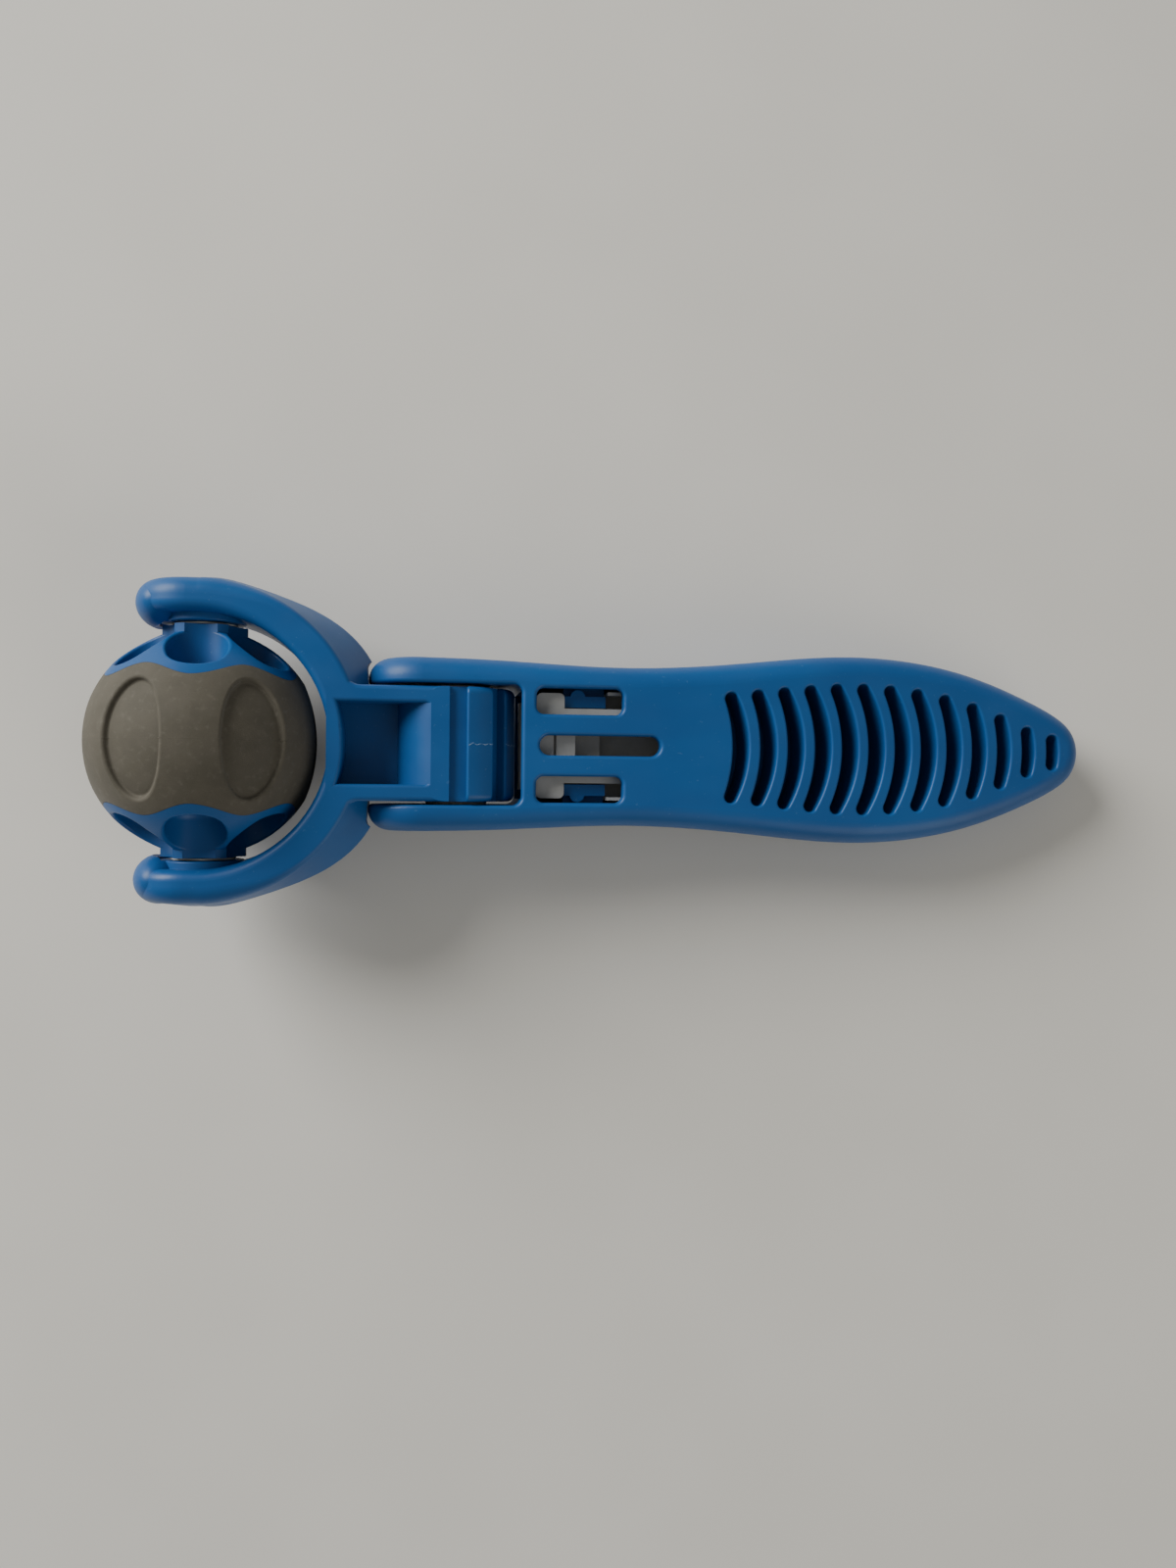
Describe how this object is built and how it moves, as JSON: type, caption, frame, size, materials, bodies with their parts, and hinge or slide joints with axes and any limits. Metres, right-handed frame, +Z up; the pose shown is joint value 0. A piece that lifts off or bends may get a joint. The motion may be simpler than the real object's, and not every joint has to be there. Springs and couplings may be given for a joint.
{
  "type": "massage roller",
  "caption": "Hand-held massage roller: a soft-treaded ball spins in a folding fork that a slide lock fixes to a long handle.",
  "frame": {"origin": "on the table under the middle of the tool's length and width, as it lies with the ball and the handle's tip touching", "axes": "+X toward the handle's tip, +Y across the tool along the axle, +Z up"},
  "size_m": [0.2318, 0.0738, 0.051],
  "materials": {
    "blue_plastic": "satin",
    "grey_rubber": "matte",
    "grey_plastic": "satin",
    "dark_rubber": "matte",
    "steel": "turned",
    "nylon": "satin"
  },
  "bodies": {
    "handle": {"handle": "blue_plastic", "hinge_pin": "steel", "hinge_cap_left": "blue_plastic", "hinge_cap_right": "blue_plastic", "hinge_washer_left": "nylon", "hinge_washer_right": "nylon", "lock_cover": "blue_plastic", "cover_screws": "steel"},
    "head": {"yoke": "blue_plastic", "axle": "steel", "axle_cap_left": "blue_plastic", "axle_cap_right": "blue_plastic", "thrust_washer_left": "nylon", "thrust_washer_right": "nylon"},
    "roller": {"roller_core": "blue_plastic", "roller_tread": "grey_rubber", "axle_bush_left": "nylon", "axle_bush_right": "nylon"},
    "lock": {"lock_slider": "grey_plastic", "thumb_pad": "dark_rubber"}
  },
  "joints": [
    {"name": "head_fold", "type": "hinge", "parent": "handle", "child": "head", "pos_m": [-0.03478, 0, 0.02064], "axis": [0, 1, 0], "range_deg": [-90, 90]},
    {"name": "roller_spin", "type": "hinge", "parent": "head", "child": "roller", "pos_m": [-0.09077, 0, 0.0255], "axis": [0, 1, 0], "continuous": true},
    {"name": "lock_slide", "type": "slide", "parent": "handle", "child": "lock", "axis": [-0.9963, 0, 0.0864], "range_m": [0, 0.0032]}
  ]
}
